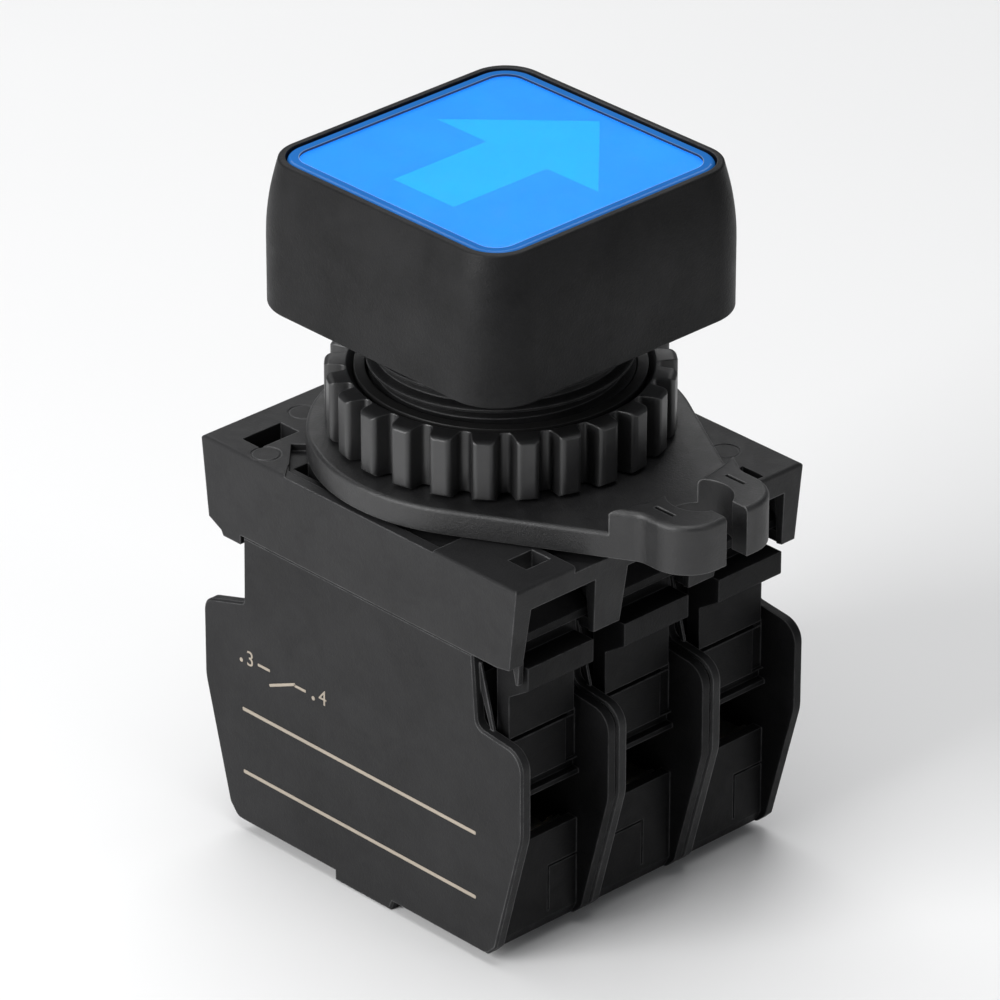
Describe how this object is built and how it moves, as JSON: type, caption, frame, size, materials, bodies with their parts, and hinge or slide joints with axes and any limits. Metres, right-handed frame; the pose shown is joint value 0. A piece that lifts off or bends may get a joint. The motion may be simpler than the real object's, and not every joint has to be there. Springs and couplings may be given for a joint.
{
  "type": "panel push-button switch",
  "caption": "Square illuminated push-button switch for a round panel hole, with ring nut, locking lever, mounting base and snap-in contact blocks with screw terminals.",
  "frame": {"origin": "on the button's axis, at the underside of the bezel where it meets the panel", "axes": "+Z along the button's axis, out of the panel towards the user; X along the contact blocks' length, +X on the side of the lever's handle; Y across the row of blocks"},
  "size_m": [0.0461, 0.0322, 0.062],
  "materials": {
    "bezel_plastic": "fine satin grain, near black",
    "gasket_rubber": "matte",
    "lens_plastic": "clear glossy blue",
    "legend_plastic": "satin blue",
    "arrow_plastic": "satin light blue",
    "diffuser_plastic": "milky blue-white",
    "carrier_plastic": "satin dark",
    "spring_steel": "drawn wire",
    "clip_steel": "phosphated",
    "nut_plastic": "satin, near black",
    "ring_plastic": "satin, near black",
    "lever_plastic": "satin, near black",
    "base_plastic": "fine matte grain, near black",
    "block_plastic": "fine matte grain, near black",
    "plunger_plastic": "satin",
    "yoke_plastic": "satin, natural",
    "contact_brass": "stamped, silver-tipped",
    "lamp_plastic": "satin, natural",
    "lamp_emitter": "clear glossy, tinted",
    "board_laminate": "satin green",
    "resistor_body": "satin tan",
    "screw_steel": "zinc plated",
    "clamp_steel": "zinc plated"
  },
  "bodies": {
    "switch_body": {"bezel": "bezel_plastic", "panel_gasket": "gasket_rubber", "return_spring": "spring_steel", "mounting_base": "base_plastic", "lamp_housing": "block_plastic", "lamp_cover": "block_plastic", "lamp_terminals": "contact_brass", "lamp_holder": "lamp_plastic", "led_lamp": "lamp_emitter", "lamp_board": "board_laminate", "lamp_resistors": "resistor_body", "clamp_plates": "clamp_steel", "terminal_screws": "screw_steel", "block_housing_front": "block_plastic", "block_cover_front": "block_plastic", "terminal_strips_front": "contact_brass", "plunger_spring_front": "spring_steel", "block_housing_rear": "block_plastic", "block_cover_rear": "block_plastic", "terminal_strips_rear": "contact_brass", "plunger_spring_rear": "spring_steel"},
    "button": {"button_lens": "lens_plastic", "legend_plate": "legend_plastic", "arrow_inlay": "arrow_plastic", "light_diffuser": "diffuser_plastic", "button_carrier": "carrier_plastic", "retaining_ring": "clip_steel"},
    "yoke": {"actuator_yoke": "yoke_plastic"},
    "front_contact": {"plunger_front": "plunger_plastic", "bridge_front": "contact_brass", "contact_spring_front": "spring_steel"},
    "rear_contact": {"plunger_rear": "plunger_plastic", "bridge_rear": "contact_brass", "contact_spring_rear": "spring_steel"},
    "thrust_washer": {"thrust_ring": "ring_plastic"},
    "nut": {"ring_nut": "nut_plastic"},
    "lever": {"locking_lever": "lever_plastic"}
  },
  "joints": [
    {"name": "button_press", "type": "slide", "parent": "switch_body", "child": "button", "axis": [0, 0, -1], "range_m": [0, 0.0035], "stiffness_N_per_m": 600, "deforming": ["return_spring"]},
    {"name": "yoke_travel", "type": "slide", "parent": "switch_body", "child": "yoke", "axis": [0, 0, -1], "range_m": [0, 0.0035]},
    {"name": "front_contact_travel", "type": "slide", "parent": "switch_body", "child": "front_contact", "axis": [0, 0, -1], "range_m": [0, 0.0035], "deforming": ["plunger_spring_front"]},
    {"name": "rear_contact_travel", "type": "slide", "parent": "switch_body", "child": "rear_contact", "axis": [0, 0, -1], "range_m": [0, 0.0035], "deforming": ["plunger_spring_rear"]},
    {"name": "thrust_ring_rise", "type": "slide", "parent": "switch_body", "child": "thrust_washer", "axis": [0, 0, 1], "range_m": [0, 0.00402]},
    {"name": "nut_turn", "type": "hinge", "parent": "thrust_washer", "child": "nut", "pos_m": [0, 0, -0.008], "axis": [0, 0, 1], "range_deg": [0, 960]},
    {"name": "lever_release", "type": "hinge", "parent": "switch_body", "child": "lever", "pos_m": [0, 0, -0.012], "axis": [0, 0, 1], "range_deg": [0, 40]}
  ],
  "couplings": [
    {"joint": "yoke_travel", "follows": "button_press", "ratio": 1},
    {"joint": "front_contact_travel", "follows": "button_press", "ratio": 1},
    {"joint": "rear_contact_travel", "follows": "button_press", "ratio": 1},
    {"joint": "thrust_ring_rise", "follows": "nut_turn", "m_per_rad": 0.00023873}
  ]
}
